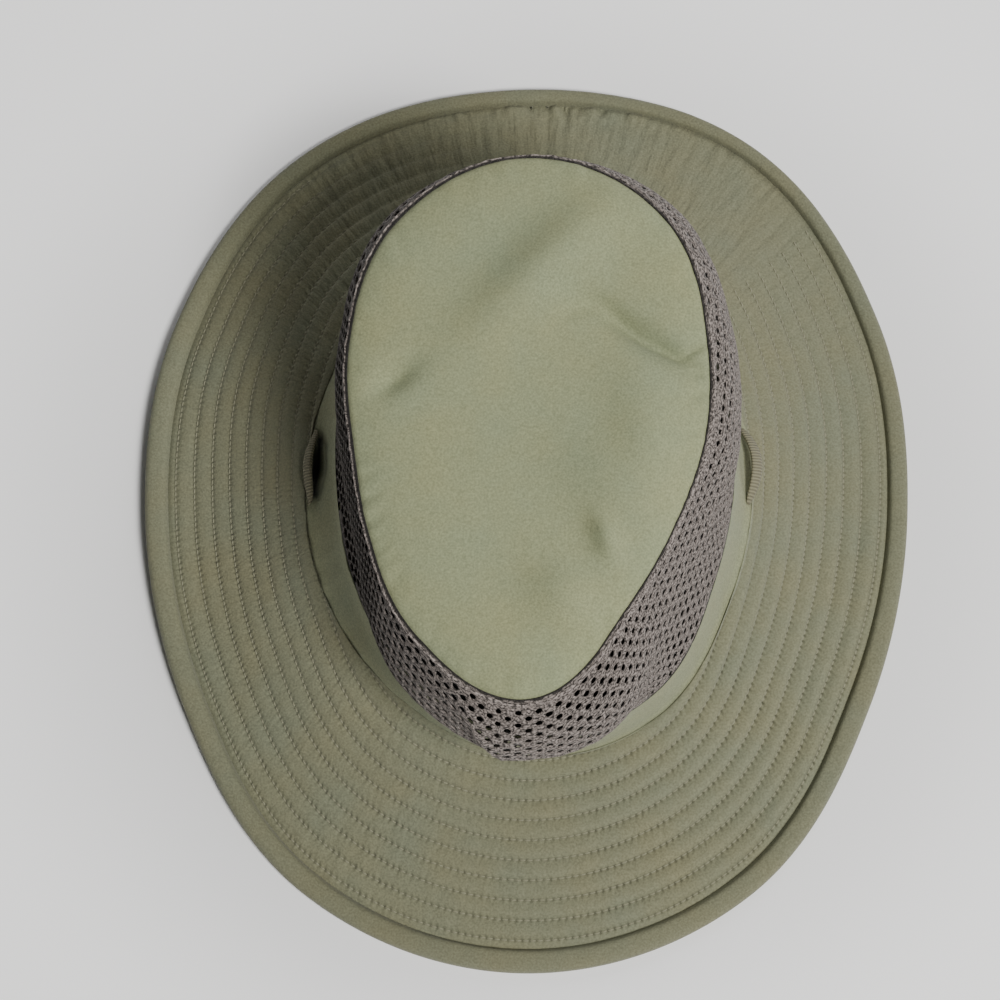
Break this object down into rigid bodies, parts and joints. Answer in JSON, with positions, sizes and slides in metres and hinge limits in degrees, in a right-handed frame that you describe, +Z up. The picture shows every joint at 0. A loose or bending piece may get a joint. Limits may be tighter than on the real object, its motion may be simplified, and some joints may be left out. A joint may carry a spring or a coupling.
{
  "type": "wide-brim sun hat",
  "caption": "Sun hat with a quilted drooping brim, bound edge, cloth strip, open net band, plain top panel and a tape loop on each side; it rests on the edge of its brim.",
  "frame": {"origin": "middle of the hat's footprint, on the surface that it rests on", "axes": "+Z up; the front of the hat faces -Y and its back +Y; +X is the side on a viewer's right who faces the front"},
  "size_m": [0.304, 0.3636, 0.1212],
  "materials": {
    "brim_cloth": "quilted plain-weave cloth, sage",
    "binding_cloth": "plain-weave cloth strip, sage",
    "crown_cloth": "fine plain-weave cloth, pale sage",
    "net_cloth": "knitted spacer net, mauve grey",
    "tape": "cross-ribbed woven tape"
  },
  "bodies": {
    "root": {"brim": "brim_cloth", "brim_binding": "binding_cloth", "side_strip": "crown_cloth", "net_band": "net_cloth", "top_panel": "crown_cloth", "side_loop_right": "tape", "side_loop_left": "tape"}
  },
  "joints": []
}
